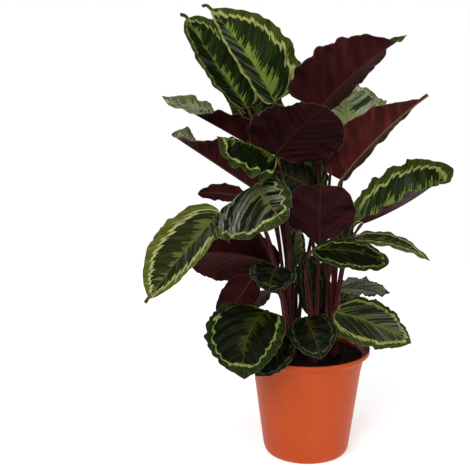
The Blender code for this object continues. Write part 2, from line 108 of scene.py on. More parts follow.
LEAVES = [
    Leaf("leaf_top_left_rear", "shoot_rear_left", (-81, 75, 465), (-170, 100, 594), (0.35, -0.9, 0.2), 96,
         arch=-0.03, fold=(50, 10), roll=(10, 20), belly=0.8, point=-0.1, foot=-0.25, tail=0.07),
    Leaf("leaf_top_left", "shoot_rear_left", (-46, 46, 476), (-140, 66, 606), (0.15, -0.95, 0.2), 108,
         arch=0.03, sway=-0.04, fold=(60, 0), roll=(10, 10), belly=0.68, point=0.4, skew=-0.12, tail=0.07),
    Leaf("leaf_top_right", "shoot_right", (16, 15, 474), (119, -15, 567), (0.0, 0.97, 0.15), 104,
         arch=-0.03, sway=-0.05, fold=(62, 0), roll=(10, 0), belly=0.45, point=0.6, skew=-0.12, heart=0.34,
         spin=(150, 0.74)),
    Leaf("leaf_upper_left", "shoot_left", (-58, 0, 414), (-190, -40, 492), (0.0, 0.7, 0.6), 72, arch=0.03,
         sway=-0.02, fold=(15, 85), roll=(30, 20), belly=0.45, point=0.3, spin=(-110, 0.45)),
    Leaf("leaf_upper_front", "shoot_left", (-47, -26, 415), (11, -104, 486), (0.09, 0.67, 0.74), 124,
         arch=0.05, fold=(8, 8), belly=0.8, point=0.2),
    Leaf("leaf_small_left", "shoot_left", (-46, -54, 416), (-120, -98, 447), (0.1, -0.7, 0.7), 66,
         fold=(5, -35), point=-0.25, wave=4, skew=0.35),
    Leaf("leaf_middle_left", "shoot_left", (-63, -12, 362), (-179, -40, 444), (0.0, 0.8, 0.5), 86, arch=0.0,
         fold=(20, 72), roll=(50, 20), point=0.1, spin=(-60, 0.6)),
    Leaf("leaf_side_left", "shoot_left", (-84, -5, 355), (-147, -20, 364), (0.0, 0.8, 0.5), 32,
         fold=(20, 20), wave=1.2, point=0.1),
    Leaf("leaf_silvery_front", "shoot_left", (-75, -55, 381), (-41, -145, 351), (-0.5, -0.3, 0.85), 112,
         arch=0.06, fold=(8, 12), roll=(25, 30), belly=0.8, wave=4, waves=6, skew=-0.42, point=0.1),
    Leaf("leaf_broad_left", "shoot_left", (-118, -34, 341), (-213, -80, 233), (-0.2, -0.9, 0.5), 98,
         arch=0.06, fold=(55, 0), point=0.2, skew=-0.08, bend=1.0, wave=2.0, tail=0.05, heart=0.3),
    Leaf("leaf_low_left", "shoot_left", (-39, 8, 259), (-163, -30, 283), (0.0, 0.95, 0.3), 96,
         fold=(60, 30), skew=-0.26, sway=0.04, wave=2.0),
    Leaf("leaf_hanging_left", "shoot_left", (-72, -5, 250), (-118, -20, 180), (0.1, 0.9, 0.2), 52,
         fold=(30, 30), foot=0.4, bend=1.0, wave=1.5),
    Leaf("leaf_pot_left", "shoot_left", (-59, -75, 222), (-87, -120, 145), (-0.1, -0.8, 0.6), 110, arch=0.2,
         sway=-0.09, fold=(30, 0), belly=0.75, skew=-0.12),
    Leaf("leaf_rim_left", "shoot_left", (-34, -62, 185), (-72, -98, 141), (0.3, -0.8, 0.6), 50, arch=0.15),
    Leaf("leaf_pot_front", "shoot_front", (-7, -55, 207), (11, -100, 165), (0.0, -0.8, 0.6), 62, arch=0.15),
    Leaf("leaf_pot_right", "shoot_right", (33, -45, 211), (129, -75, 178), (0.0, -0.65, 0.75), 78,
         belly=0.7, fold=(5, 15), wave=2.0),
    Leaf("leaf_thin_right", "shoot_right", (37, 10, 225), (113, 15, 220), (0.0, -0.15, 0.98), 62, wave=1.8),
    Leaf("leaf_low_right", "shoot_front", (-1, -86, 304), (94, -96, 291), (0.0, -0.4, 0.9), 62, skew=-0.25,
         belly=1.0, wave=1.5, point=0.1),
    Leaf("leaf_arching_right", "shoot_right", (50, 5, 295), (161, -10, 271), (0.0, -0.3, 0.95), 60,
         arch=0.13, fold=(5, 28), wave=1.3),
    Leaf("leaf_folded_right", "shoot_right", (67, -35, 328), (178, -50, 402), (-0.3, 0.0, 1.0), 104,
         arch=-0.05, fold=(68, 26), roll=(20, 10), foot=-0.3, point=0.1, wave=2.2, spin=(40, 0.6)),
    Leaf("leaf_long_right", "shoot_right", (39, -20, 382), (143, -50, 494), (-0.1, 0.9, 0.2), 68, arch=0.0,
         sway=-0.04, fold=(62, 34), belly=0.55, point=0.6, skew=-0.25, tail=0.04, heart=0.15),
    Leaf("leaf_pale_right", "shoot_rear_right", (54, 48, 437), (47, 105, 501), (0.1, -0.9, 0.5), 128,
         fold=(20, 5), belly=0.7),
    Leaf("leaf_centre", "shoot_front", (11, -38, 293), (9, -70, 384), (0.1, 0.9, 0.1), 92, arch=-0.14,
         fold=(20, 20), belly=1.5, point=-0.3, foot=1.1),
    Leaf("leaf_inner_left", "shoot_rear_left", (4, 10, 366), (-63, -5, 399), (0.0, -0.9, 0.4), 60),
    Leaf("leaf_bud_right", "shoot_right", (42, -45, 300), (34, -42, 345), (0.1, -0.9, 0.3), 32),
    Leaf("leaf_crinkled_front", "shoot_left", (-46, -62, 276), (-57, -104, 254), (0.0, -0.6, 0.8), 60,
         arch=0.15, wave=5),
    Leaf("leaf_inner_low", "shoot_rear_right", (6, 2, 191), (-4, -4, 282), (0.3, -0.9, 0.2), 44,
         belly=1.15),
    Leaf("leaf_inner_small", "shoot_rear_left", (-16, 10, 260), (-18, 12, 319), (0.0, -0.9, 0.3), 26),
    Leaf("leaf_inner_right", "shoot_rear_right", (4, 42, 344), (4, 60, 410), (0.1, -0.9, 0.3), 48),
    Leaf("leaf_rear_centre", "shoot_rear_left", (-15, 75, 362), (-12, 100, 467), (0.0, -0.9, 0.4), 60),
    Leaf("leaf_rear_right", "shoot_rear_right", (50, 50, 303), (158, 110, 351), (-0.2, -0.4, 0.9), 46,
         wave=1.8),
    Leaf("leaf_rear_left", "shoot_rear_left", (-85, 50, 286), (-200, 120, 255), (0.1, -0.5, 0.85), 80),
    Leaf("leaf_rear_low", "shoot_rear_right", (6, 45, 223), (43, 130, 130), (0.0, 0.1, 1.0), 70, arch=0.2),
    Leaf("leaf_rear_low_right", "shoot_rear_right", (47, 35, 204), (120, 100, 144), (0.1, 0.0, 1.0), 58,
         arch=0.15, wave=2.2),
    Leaf("leaf_rear_top_left", "shoot_rear_left", (-52, 95, 405), (-91, 150, 529), (0.1, -0.9, 0.4), 76),
    Leaf("leaf_rear_top_right", "shoot_rear_right", (38, 85, 410), (63, 140, 507), (-0.1, -0.9, 0.4), 60),
    Leaf("leaf_rear_low_left", "shoot_rear_left", (-29, 40, 214), (-83, 105, 144), (0.0, 0.1, 1.0), 56,
         arch=0.2),
]

# How a blade is finished. Widths are in millimetres, and angles in degrees. tone picks the colours. silver
# is how much of the middle is silvery, ring how far the pale ring lies inside the margin as a share of half
# the width, and feather the width of the light green beside the midrib: each is one value, or one for the
# left half and one for the right. jag is the length of the ring's spikes, pleat the height of the folds
# along the side veins, pitch their spacing and crinkle the height of the margin's small waves. tip is the
# share of the length that is brown. lobes is the depth of the scallops that rounded folds give the ring and
# the margin, or 0 for plain folds, and ruffle how far the margin goes in and out as a share of the width.
# hook turns the tip to its left from a share of the length on. grain widens or narrows the streaks, and
# creases is how clear the light lines between the rounded folds are. slant is how far the side veins run
# forwards.
LOOK_DEFAULTS = {"tone": "deep", "silver": 0.0, "ring": 0.30, "ring_width": 3.0, "jag": 5.0, "feather": 8.0,
                 "feather_end": 0.75, "pleat": 0.7, "pitch": 13.0, "crinkle": 0.7, "under": "burgundy",
                 "rib": "green", "tip": 0.02, "lobes": 0.0, "ruffle": 0.012, "hook": (1.0, 0), "grain": 1.0,
                 "creases": 0.0, "slant": 0.55}
Look = namedtuple("Look", LOOK_DEFAULTS, defaults=LOOK_DEFAULTS.values())
LOOKS = {
    "leaf_top_left_rear": Look(silver=(0.2, 0.0), ring=(0.16, 0.30), ring_width=2.6, jag=3.4, feather=5,
                               tip=0.06, hook=(0.94, 70), ruffle=0.018),
    "leaf_top_left": Look(silver=(0.45, 0.0), ring=(0.05, 0.27), ring_width=5.4, feather=(3, 13),
                          feather_end=0.8, jag=3.6, tip=0.05, hook=(0.955, 85), ruffle=0.026),
    "leaf_top_right": Look("fresh", pleat=1.0, pitch=19, ruffle=0.035, tip=0),
    "leaf_upper_left": Look("cream", 0.5, pleat=0.5, ring_width=2.0, ruffle=0.03),
    # Its underside is the burgundy darkened as painted shade
    "leaf_upper_front": Look(pleat=1.2, under="dark"),
    "leaf_small_left": Look("night", pleat=1.8, pitch=17, crinkle=0.6, ring=0.27, ring_width=2.4, jag=1.0,
                            feather=10, feather_end=0.5, lobes=3.4, ruffle=0.02),
    "leaf_middle_left": Look("cream", 0.3, ring_width=2.0),
    "leaf_side_left": Look(pleat=0.3, crinkle=0.3),
    "leaf_silvery_front": Look("silver", (0.34, 0.32), pleat=1.7, pitch=20, crinkle=0.5, ring=0.20,
                               ring_width=2.4, jag=0.8, feather=9, lobes=4.4, ruffle=0.01, grain=0.42,
                               creases=0.9),
    "leaf_broad_left": Look("olive", (0.35, 0.0), ring=(0.20, 0.34), ring_width=4.8, jag=4.4,
                            feather=(4, 9), pleat=0.6, tip=0.045, ruffle=0.014),
    "leaf_low_left": Look(pleat=0.8),
    "leaf_hanging_left": Look(pleat=0.8),
    "leaf_pot_left": Look("black", ring=0.22, ring_width=2.4, jag=1.0, pleat=1.3, pitch=17, lobes=2.2,
                          rib="olive", creases=0.3),
    "leaf_rim_left": Look("dusk", 0.1, ring=0.20, ring_width=1.2, jag=2.0, pleat=1.2, lobes=1.4, rib="brown"),
    "leaf_pot_front": Look("dusk", ring=0.20, ring_width=1.1, jag=1.6, feather=3, rib="brown", lobes=1.0),
    "leaf_pot_right": Look("fresh", 0.34, ring=0.24, ring_width=3.2, jag=3.0, feather=4, pleat=1.1,
                           ruffle=0.02, grain=0.6, slant=1.5),
    "leaf_thin_right": Look("silver", 0.85, ring=0.16, ring_width=1.4, jag=2.0, feather=2, pleat=0.8,
                            pitch=12, ruffle=0.03, grain=0.5, slant=2.2),
    "leaf_low_right": Look("black", ring=0.24, ring_width=1.4, jag=2.6, feather=3, pleat=0.4, crinkle=0.3,
                           rib="olive"),
    "leaf_arching_right": Look("olive", ring=0.40, ring_width=3.6, jag=2.0, feather=3, pleat=0.3,
                               crinkle=0.3, under="red"),
    "leaf_folded_right": Look("deep", 0.14, ring=0.26, ring_width=3.8, jag=3.0, feather=(15, 23), pleat=0.5,
                              feather_end=0.95, crinkle=0.5, ruffle=0.016),
    "leaf_long_right": Look("fresh", under="red", rib="brown", pleat=0.5, crinkle=0.4),
    "leaf_pale_right": Look("pale", 0.6, feather=14, pleat=1.0, ring=0.22, ruffle=0.03),
    # Its underside is the burgundy darkened as painted shade
    "leaf_centre": Look(pleat=0.8, under="dark"),
    "leaf_inner_left": Look("dusk", 0.2, crinkle=1.0, ring=0.1, ring_width=2.0, rib="olive"),
    "leaf_bud_right": Look("dusk", 0.1, ring_width=1.2, rib="olive"),
    "leaf_crinkled_front": Look("dusk", 0.05, pleat=1.8, pitch=9, crinkle=0.8, ring=0.16, ring_width=0.8,
                                jag=1.5, lobes=1.6, rib="olive"),
    "leaf_inner_low": Look("dusk", 0.1, ring_width=0.8, jag=2.0, feather=2, rib="olive"),
    "leaf_inner_small": Look("silver", 0.42, pleat=1.0, pitch=7, ring_width=1.2, jag=2.0),
    "leaf_inner_right": Look("dusk", 0.2, rib="olive"),
    "leaf_rear_left": Look("fresh", 0.1),
    "leaf_rear_right": Look("fresh", 0.1),
}


def pair(value):
    """A value for the left half and one for the right half."""
    return value if isinstance(value, tuple) else (value, value)


# Colours as linear RGB
Tone = namedtuple("Tone", "dark middle band ring feather silver")
TONES = {
    "deep": Tone(dark=(0.008, 0.016, 0.002), middle=(0.026, 0.040, 0.006), band=(0.034, 0.052, 0.005),
                 ring=(0.400, 0.420, 0.130), feather=(0.200, 0.285, 0.044), silver=(0.110, 0.120, 0.085)),
    "night": Tone(dark=(0.003, 0.005, 0.001), middle=(0.006, 0.010, 0.002), band=(0.018, 0.032, 0.003),
                  ring=(0.300, 0.350, 0.090), feather=(0.080, 0.130, 0.014), silver=(0.060, 0.065, 0.040)),
    "black": Tone(dark=(0.003, 0.005, 0.001), middle=(0.007, 0.010, 0.003), band=(0.010, 0.018, 0.003),
                  ring=(0.240, 0.290, 0.070), feather=(0.034, 0.040, 0.005), silver=(0.040, 0.045, 0.030)),
    "dusk": Tone(dark=(0.002, 0.004, 0.001), middle=(0.008, 0.010, 0.003), band=(0.007, 0.011, 0.003),
                 ring=(0.100, 0.110, 0.032), feather=(0.024, 0.022, 0.005), silver=(0.050, 0.055, 0.040)),
    "fresh": Tone(dark=(0.010, 0.016, 0.004), middle=(0.032, 0.042, 0.012), band=(0.032, 0.044, 0.008),
                  ring=(0.420, 0.450, 0.130), feather=(0.105, 0.125, 0.028), silver=(0.200, 0.200, 0.140)),
    "olive": Tone(dark=(0.016, 0.023, 0.004), middle=(0.038, 0.048, 0.008), band=(0.088, 0.106, 0.009),
                  ring=(0.520, 0.510, 0.220), feather=(0.150, 0.160, 0.040), silver=(0.110, 0.120, 0.060)),
    "silver": Tone(dark=(0.004, 0.006, 0.002), middle=(0.026, 0.032, 0.014), band=(0.022, 0.034, 0.008),
                   ring=(0.360, 0.430, 0.130), feather=(0.110, 0.142, 0.040), silver=(0.340, 0.340, 0.265)),
    "pale": Tone(dark=(0.026, 0.040, 0.012), middle=(0.225, 0.265, 0.130), band=(0.150, 0.200, 0.060),
                 ring=(0.540, 0.570, 0.290), feather=(0.250, 0.300, 0.105), silver=(0.400, 0.435, 0.290)),
    "cream": Tone(dark=(0.060, 0.065, 0.035), middle=(0.190, 0.190, 0.120), band=(0.130, 0.145, 0.055),
                  ring=(0.500, 0.480, 0.300), feather=(0.210, 0.220, 0.120), silver=(0.330, 0.320, 0.230)),
}
RIBS = {"green": (0.13, 0.16, 0.04), "olive": (0.05, 0.05, 0.01), "brown": (0.07, 0.034, 0.012)}
Under = namedtuple("Under", "skin streak rib")
UNDERS = {
    "burgundy": Under((0.032, 0.0062, 0.0058), (0.056, 0.0094, 0.01), (0.085, 0.024, 0.018)),
    # dark is the burgundy underside darkened as painted shade
    "dark": Under((0.019, 0.0042, 0.0044), (0.04, 0.0066, 0.0082), (0.042, 0.012, 0.011)),
    "red": Under((0.037, 0.0064, 0.006), (0.1, 0.014, 0.014), (0.19, 0.09, 0.04)),
}
TIP_BROWN = (0.075, 0.03, 0.016)
PALE_EDGE = (0.23, 0.24, 0.12)


# Geometry

def unit(vector):
    """The vector at length 1."""
    vector = np.asarray(vector, float)
    return vector / np.linalg.norm(vector)


def turned(vector, axis, angle):
    """The vector turned about a unit axis by an angle in radians."""
    side = np.cross(axis, vector)
    return vector * cos(angle) + side * sin(angle) + axis * np.dot(axis, vector) * (1 - cos(angle))


def smooth(low, high, value):
    """0 below low, 1 above high, and a smooth rise between them."""
    t = np.clip((np.asarray(value, float) - low) / (high - low), 0.0, 1.0)
    return t * t * (3.0 - 2.0 * t)


def on_circle(radius, k, count):
    """Where place k of count lies on a circle round the pot's axis."""
    angle = 2 * pi * k / count
    return radius * cos(angle), radius * sin(angle)


def sheet_faces(rows, columns, first=0):
    """A closed sheet's faces, with a 0 for each of its upper side and a 1 for each other.

    Its points from first on are the upper side's, row by row, and then the underside's.
    """
    count = rows * columns
    faces = []
    slots = []
    for i in range(rows - 1):
        for a in range(first + i * columns, first + (i + 1) * columns - 1):
            b = a + count
            faces.append((a, a + 1, a + columns + 1, a + columns))
            faces.append((b, b + columns, b + columns + 1, b + 1))
            slots += [0, 1]
    grid = first + np.arange(count).reshape(rows, columns)
    edge = np.concatenate([grid[0], grid[1:, -1], grid[-1, -2::-1], grid[-2:0:-1, 0]]).tolist()
    for a, b in zip(edge, edge[1:] + edge[:1]):
        faces.append((b, a, a + count, b + count))
        slots.append(1)
    return faces, slots


def fan_faces(rings, sides, closed=False):
    """The faces from point 0 out over rings of points and, where closed, in again to the last point."""
    faces = []
    last = 1 + (rings - 1) * sides
    for k in range(sides):
        n = (k + 1) % sides
        faces.append((0, 1 + k, 1 + n))
        for a in range(1, last, sides):
            faces.append((a + k, a + sides + k, a + sides + n, a + n))
        if closed:
            faces.append((last + k, last + sides, last + n))
    return faces


def half_width(u, blade):
    """Half the blade's width at u along the midrib, as a share of its widest."""
    u = min(u / (1.0 - blade.tail), 1.0)
    if blade.heart:
        u = HEART_START + (1.0 - HEART_START) * u
    x = 2.0 * u ** blade.belly - 1.0
    power = 0.5 + blade.point * max(x, 0.0) ** 1.5 + blade.foot * max(-x, 0.0) ** 1.5
    return max(1.0 - x * x, 0.0) ** power


def midrib(blade, u):
    """The midrib's point at u, from 0 at the stalk to 1 at the tip, with the blade's face direction."""
    base = np.array(blade.base) * MM
    chord = np.array(blade.tip) * MM - base
    length = np.linalg.norm(chord)
    along = chord / length
    face = np.array(blade.face, float)
    face = unit(face - along * np.dot(face, along))
    left = np.cross(face, along)
    bow = 4 * u * (1 - u) * length
    return base + chord * u + face * (blade.arch * bow) + left * (blade.sway * bow), face


def midrib_direction(blade, u):
    """The way the midrib runs at u."""
    return unit(midrib(blade, min(1, u + NEARBY))[0] - midrib(blade, max(0, u - NEARBY))[0])


def tip_turn(blade, u):
    """How far the blade's tip is turned about the midrib at u, in radians."""
    angle, start = blade.spin
    return radians(angle) * max(0.0, (u - start) / (1.0 - start)) ** TURN_POWER


def midrib_line(blade, rows, hook):
    """The midrib at each row: its share of the length, points, directions and face normals."""
    share = np.linspace(0, 1, rows + 1)
    places = (1 - END_CROWDING) * share + END_CROWDING * (0.5 - 0.5 * np.cos(pi * share))
    directions = [midrib_direction(blade, u) for u in places]
    middle = rows // 2
    normals = [midrib(blade, 0.5)[1]] * (rows + 1)
    for order in (range(middle, rows + 1), range(middle, -1, -1)):
        normal = normals[middle]
        for i in order:
            normal = unit(normal - directions[i] * np.dot(normal, directions[i]))
            normals[i] = normal
    straight = [midrib(blade, u)[0] for u in places]
    points = straight[:1]
    start, bend = hook
    for i in range(1, rows + 1):
        step = straight[i] - straight[i - 1]
        if places[i] > start:
            angle = radians(bend) * (places[i] - start) / (1 - start)
            step = turned(step, normals[i], angle)
            directions[i] = turned(directions[i], normals[i], angle)
        points.append(points[-1] + step)
    normals = [turned(*row, tip_turn(blade, u)) for *row, u in zip(normals, directions, places)]
    return places, np.array(points), np.array(directions), np.array(normals)


NEARBY = 0.001
TURN_POWER = 1.3
END_CROWDING = 0.45
LARGE_BLADE = 84
LARGE_GRID = (96, 18)
SMALL_GRID = (64, 12)
COLUMN_POWER = 1.3
BEND_STEPS = 6
LEAST_HALF_WIDTH = 0.5
BASE_HALF_WIDTH = 1.3
TAIL_HALF_WIDTH = 3.3
TAIL_START = 0.8
HEART_LENGTH = 0.35
HEART_START = 0.006
SKIN_THICKNESS = 0.55
MARGIN_THICKNESS = 0.30
RIB_HEIGHT = 1.25
RIB_HALF_WIDTH = 1.15
RIB_TAPER = 0.75
RIB_GROOVE = 0.35
VEIN_CURVE = 0.006
FULL_BREADTH = 80.0
# Ripples as pairs of how many there are and how high they are
SCALLOPS = ((1.4, 1.0), (2.6, 0.6), (5.1, 0.2))
SWELLS = ((1.0, 1.0), (1.7, 0.5))
SMALL_WAVES = ((2.9, 1.0), (4.7, 0.6))
PLEATS = ((1.0, 1.0), (1.9, 0.35))
WAVE_POWER = 2.5
CRINKLE_POWER = 4
PLEAT_WOBBLE = 0.35
PLEAT_START = 0.35
# How a rounded fold swells the blade and moves its ring: each is a height and what is taken off it
ROUND_FOLD = (2.6, 1.6)
ROUND_RING = (1.7, 1.1)
ROUNDNESS = 0.8
LOBE_MIDDLE = 0.8
# The ring runs nearer the margin at the blade's ends, and closes before the tip
RING_AT_ENDS = 0.55
RING_CLOSING = (0.9, 0.25)
FEATHER_RISE = (-0.05, 0.16)
FEATHER_FALL = 0.25
# Half the width of the light line on the midrib, at the stalk and at the tip
LINE_HALF_WIDTH = (0.95, 0.40)


def ripples(turns, parts, phases):
    """A sum of sine waves, each with its number, height and phase."""
    return sum(height * np.sin(2 * pi * number * turns + phase)
               for (number, height), phase in zip(parts, phases))


def blade_surface(blade, finish, seed):
    """The blade's upper and under surfaces as grids of points, with the values that its skin reads."""
    rows, columns = LARGE_GRID if blade.width >= LARGE_BLADE else SMALL_GRID
    places, ribs, directions, normals = midrib_line(blade, rows, finish.hook)
    steps = np.arange(-columns, columns + 1)
    across = np.abs(steps / columns) ** COLUMN_POWER
    sides = np.where(steps < 0, 0, 1)
    hand = np.where(steps < 0, 1, -1)
    phases = np.random.default_rng(seed).uniform(0, 2 * pi, (2, 2))[sides].T
    extra = np.random.default_rng(seed + 1000).uniform(0, 2 * pi, (8, 2))[:, sides]
    length = np.linalg.norm(np.subtract(blade.tip, blade.base))
    widest = 0.5 * blade.width
    breadth = min(1.0, blade.width / FULL_BREADTH)
    bends = (np.arange(BEND_STEPS)[:, None] + 0.5) / BEND_STEPS
    angles = np.radians(np.take(blade.fold, sides) - np.take(blade.roll, sides) * bends * across)
    out = np.cos(angles).mean(axis=0) * across
    up = np.sin(angles).mean(axis=0) * across
    upper, zones, veins, edges = np.zeros((4, rows + 1, len(steps), 3))
    for i, u in enumerate(places):
        left = np.cross(normals[i], directions[i])
        share = half_width(u, blade)
        fade = share ** 0.5
        floor = BASE_HALF_WIDTH + (LEAST_HALF_WIDTH - BASE_HALF_WIDTH) * u
        if blade.tail:
            floor = max(floor, TAIL_HALF_WIDTH * float(smooth(TAIL_START, 1.0 - blade.tail, u)))
        waves = blade.waves * u
        scallop = 1 + finish.ruffle * ripples(waves, SCALLOPS, extra[:3])
        half = np.maximum(widest * share * (1 + blade.skew * hand) * scallop, floor)
        lift = blade.wave * across ** WAVE_POWER * fade * ripples(waves, SWELLS, phases)
        small = ripples(waves, SMALL_WAVES, extra[2:4])
        lift = lift + finish.crinkle * breadth * across ** CRINKLE_POWER * fade * small
        rib = half * across
        lateral = length * u - finish.slant * rib - VEIN_CURVE * rib * rib
        folds = lateral / finish.pitch
        crest = np.abs(np.sin(pi * (folds + extra[7])))
        wobble = PLEAT_WOBBLE * np.sin(folds * 1.7 + extra[4])
        pleat = ripples(folds, PLEATS, (wobble + extra[5], extra[6]))
        if finish.lobes:
            pleat = ROUND_FOLD[0] * crest ** ROUNDNESS - ROUND_FOLD[1]
        lift = lift + finish.pleat * breadth * pleat * smooth(0.0, PLEAT_START, across) * fade
        lift = lift - RIB_GROOVE * np.exp(-(rib / RIB_HALF_WIDTH) ** 2) * smooth(0, 0.05, u) * (1 - u)
        bulge = 1 + finish.lobes / widest * across ** 3 * (crest - LOBE_MIDDLE)
        back = blade.heart * half * across * (2 - across) * max(0.0, 1.0 - u / HEART_LENGTH) ** 2
        upper[i] = ribs[i] + MM * (np.outer(half * out * hand * bulge, left)
                                   + np.outer(half * up + lift, normals[i])
                                   - np.outer(back, directions[i]))
        margin = (1 - across) * half
        inset = np.take(pair(finish.ring), sides)
        inset = inset * (RING_AT_ENDS + (1 - RING_AT_ENDS) * smooth(0.0, 0.5, share))
        ring = margin - inset * widest + finish.lobes * (ROUND_RING[0] * crest - ROUND_RING[1])
        ring = np.minimum(ring, RING_CLOSING[0] * length * (1 - u) - RING_CLOSING[1] * widest)
        feather = np.take(pair(finish.feather), sides) * smooth(*FEATHER_RISE, u)
        feather = feather * (1 - smooth(FEATHER_FALL, finish.feather_end, u) ** 0.8)
        line = LINE_HALF_WIDTH[0] + (LINE_HALF_WIDTH[1] - LINE_HALF_WIDTH[0]) * u
        zones[i].T[:] = np.broadcast_arrays(ring, feather - rib, rib - line)
        veins[i].T[:] = np.broadcast_arrays(lateral, rib * hand, seed)
        edges[i].T[:] = np.broadcast_arrays(u, margin, crest)
    down = np.cross(np.gradient(upper, axis=0), np.gradient(upper, axis=1))
    down /= np.linalg.norm(down, axis=2)[:, :, None] + 1e-12
    rib = np.abs(veins[:, :, 1])
    taper = (1 - RIB_TAPER * places)[:, None]
    depth = MARGIN_THICKNESS + (SKIN_THICKNESS - MARGIN_THICKNESS) * (1 - across[None, :] ** 3)
    depth = depth + RIB_HEIGHT * taper * np.exp(-(rib / (RIB_HALF_WIDTH * taper)) ** 2)
    under = upper + down * depth[:, :, None] * MM
    return upper, under, {"zones": zones, "veins": veins, "edges": edges}


def add_object(name, data, place=(0.0, 0.0, 0.0)):
    """Put an object in the scene."""
    thing = bpy.data.objects.new(name, data)
    thing.location = place
    bpy.context.scene.collection.objects.link(thing)
    return thing


def add_attribute(mesh, name, values):
    """Store one vector a vertex."""
    layer = mesh.attributes.new(name, "FLOAT_VECTOR", "POINT")
    layer.data.foreach_set("vector", np.asarray(values, np.float32).ravel())


def add_piece(name, points, faces, materials, replaced=(), slots=None):
    """Make a mesh object that rides on the plant and takes the place of the named nodes."""
    mesh = bpy.data.meshes.new(name)
    mesh.from_pydata([tuple(point) for point in points], [], faces)
    for material in materials:
        mesh.materials.append(material)
    if slots:
        mesh.polygons.foreach_set("material_index", slots)
    mesh.polygons.foreach_set("use_smooth", [True] * len(faces))
    mesh.update()
    piece = add_object(name, mesh)
    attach(piece, "root")
    if replaced:
        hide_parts(*replaced)
    return piece


def build_leaf(blade, seed):
    """A closed blade: a patterned upper skin and a burgundy underside with its raised midrib."""
    finish = LOOKS.get(blade.name, Look())
    upper, under, values = blade_surface(blade, finish, seed)
    faces, slots = sheet_faces(*upper.shape[:2])
    points = np.concatenate([upper.reshape(-1, 3), under.reshape(-1, 3)])
    materials = [upper_skin(blade.name, finish), under_skin(blade.name, finish)]
    piece = add_piece(blade.name + "_blade", points, faces, materials, [blade.name], slots)
    for name, grid in values.items():
        add_attribute(piece.data, name, np.concatenate([grid.reshape(-1, 3)] * 2))


# How a stalk's curve sets out, as shares of its rise, and how it comes in, first for a blade that the
# stalk meets straight and then for what a full bend adds
STALK_START = (0.05, 0.05, 0.55)
STALK_ARRIVAL = (0.18, 0.17)
LEAST_CLIMB = (0.35, -0.25)


def crown_of(shoot):
    """Where a shoot stands on the soil."""
    x, y = SHOOTS[shoot]
    return np.array([x * MM, y * MM, SOIL_LEVEL])


def stalk_path(blade, count):
    """The centre line of a blade's stalk, from inside its shoot's sheath to the blade."""
    crown = crown_of(blade.shoot)
    base = np.array(blade.base) * MM
    outward = base - crown
    start = crown + STALK_SPREAD * unit((outward[0], outward[1], 0.0))
    start[2] = SOIL_LEVEL - 0.4 * SHEATH_DEPTH
    direction = midrib_direction(blade, 0.0)
    rise = base - start
    climb = max(direction[2], LEAST_CLIMB[0] + LEAST_CLIMB[1] * blade.bend)
    over = unit((direction[0], direction[1], climb))
    arrival = unit((0.5 + 0.5 * blade.bend) * over + (0.5 - 0.5 * blade.bend) * unit(rise))
    turn = 1.0 - np.dot(arrival, direction)
    end = base - arrival * BLADE_CLEARANCE * (1.0 + turn)
    first = start + STALK_START * rise
    reach = STALK_ARRIVAL[0] + STALK_ARRIVAL[1] * blade.bend
    second = end - arrival * reach * np.linalg.norm(rise)
    t = np.linspace(0, 1, count)[:, None]
    s = 1 - t
    return s ** 3 * start + 3 * s * s * t * first + 3 * s * t * t * second + t ** 3 * end


def sweep(path, wide, thin, sides, toward):
    """Rings of points round a path, each an ellipse whose wide axis lies across the direction toward."""
    rings = []
    for point, way, a, b in zip(path, np.gradient(path, axis=0), wide, thin):
        way = unit(way)
        flat = unit(np.cross(way, toward))
        deep = np.cross(way, flat)
        angles = [2 * pi * k / sides for k in range(sides)]
        rings.append([point + flat * (a * cos(angle)) + deep * (b * sin(angle)) for angle in angles])
    return rings


def join_rings(rings, points, faces):
    """Add a closed tube's points and faces to the lists."""
    first = len(points)
    sides = len(rings[0])
    for ring in rings:
        points.extend(ring)
    last = first + (len(rings) - 1) * sides
    for a in range(first, last, sides):
        for k in range(sides):
            n = (k + 1) % sides
            faces.append((a + k, a + n, a + n + sides, a + k + sides))
    faces.append(tuple(range(first + sides - 1, first - 1, -1)))
    faces.append(tuple(range(last, last + sides)))


STALK_RINGS = 44
STALK_SIDES = 12
STALK_FOOT = 4.3
STALK_MIDDLE = 3.4
STALK_NECK = 1.5
STALK_FLATNESS = 0.62
PULVINUS_RADIUS = 2.2
PULVINUS_LENGTH = 12.0


def build_shoot(name):
    """A shoot: every stalk with its sheathed foot and swollen neck, and the short bracts round the foot."""
    points = []
    faces = []
    values = []
    crown = crown_of(name)
    stalks = [(seed, blade) for seed, blade in enumerate(LEAVES, 1) if blade.shoot == name]
    for seed, blade in stalks:
        path = stalk_path(blade, STALK_RINGS)
        runs = np.concatenate([[0], np.cumsum(np.linalg.norm(np.diff(path, axis=0), axis=1))])
        t = runs / runs[-1]
        back = (runs[-1] - runs) / MM
        radius = STALK_FOOT + (STALK_MIDDLE - STALK_FOOT) * smooth(0.05, 0.55, t)
        radius = radius + (STALK_NECK - STALK_MIDDLE) * smooth(0.55, 1.0, t)
        swell = 1 - smooth(PULVINUS_LENGTH - 4, PULVINUS_LENGTH, back)
        radius = radius + (PULVINUS_RADIUS - STALK_NECK) * swell * smooth(-1, 3, back)
        thin = radius * (STALK_FLATNESS + (1 - STALK_FLATNESS) * smooth(0.5, 0.95, t))
        outward = unit((path[-1][0] - crown[0], path[-1][1] - crown[1], 0.02))
        join_rings(sweep(path, radius * MM, thin * MM, STALK_SIDES, outward), points, faces)
        for i in range(STALK_RINGS):
            values += [(t[i], back[i], seed + k / STALK_SIDES) for k in range(STALK_SIDES)]
    add_bracts(crown, sum(SHOOTS[name]), points, faces, values)
    piece = add_piece(name + "_stalks", points, faces, [stalk_skin(name)], [name])
    add_attribute(piece.data, "stalk", values)


BRACT_COUNT = 4
BRACT_ROWS = 14
BRACT_COLUMNS = 8
BRACT_THICKNESS = 0.6
BRACT_REACH = 1.15
BRACT_SUNK = 0.3
BRACT_FLARE = 0.0035
BRACT_LAP = 0.0012
BRACT_BACK = 200.0


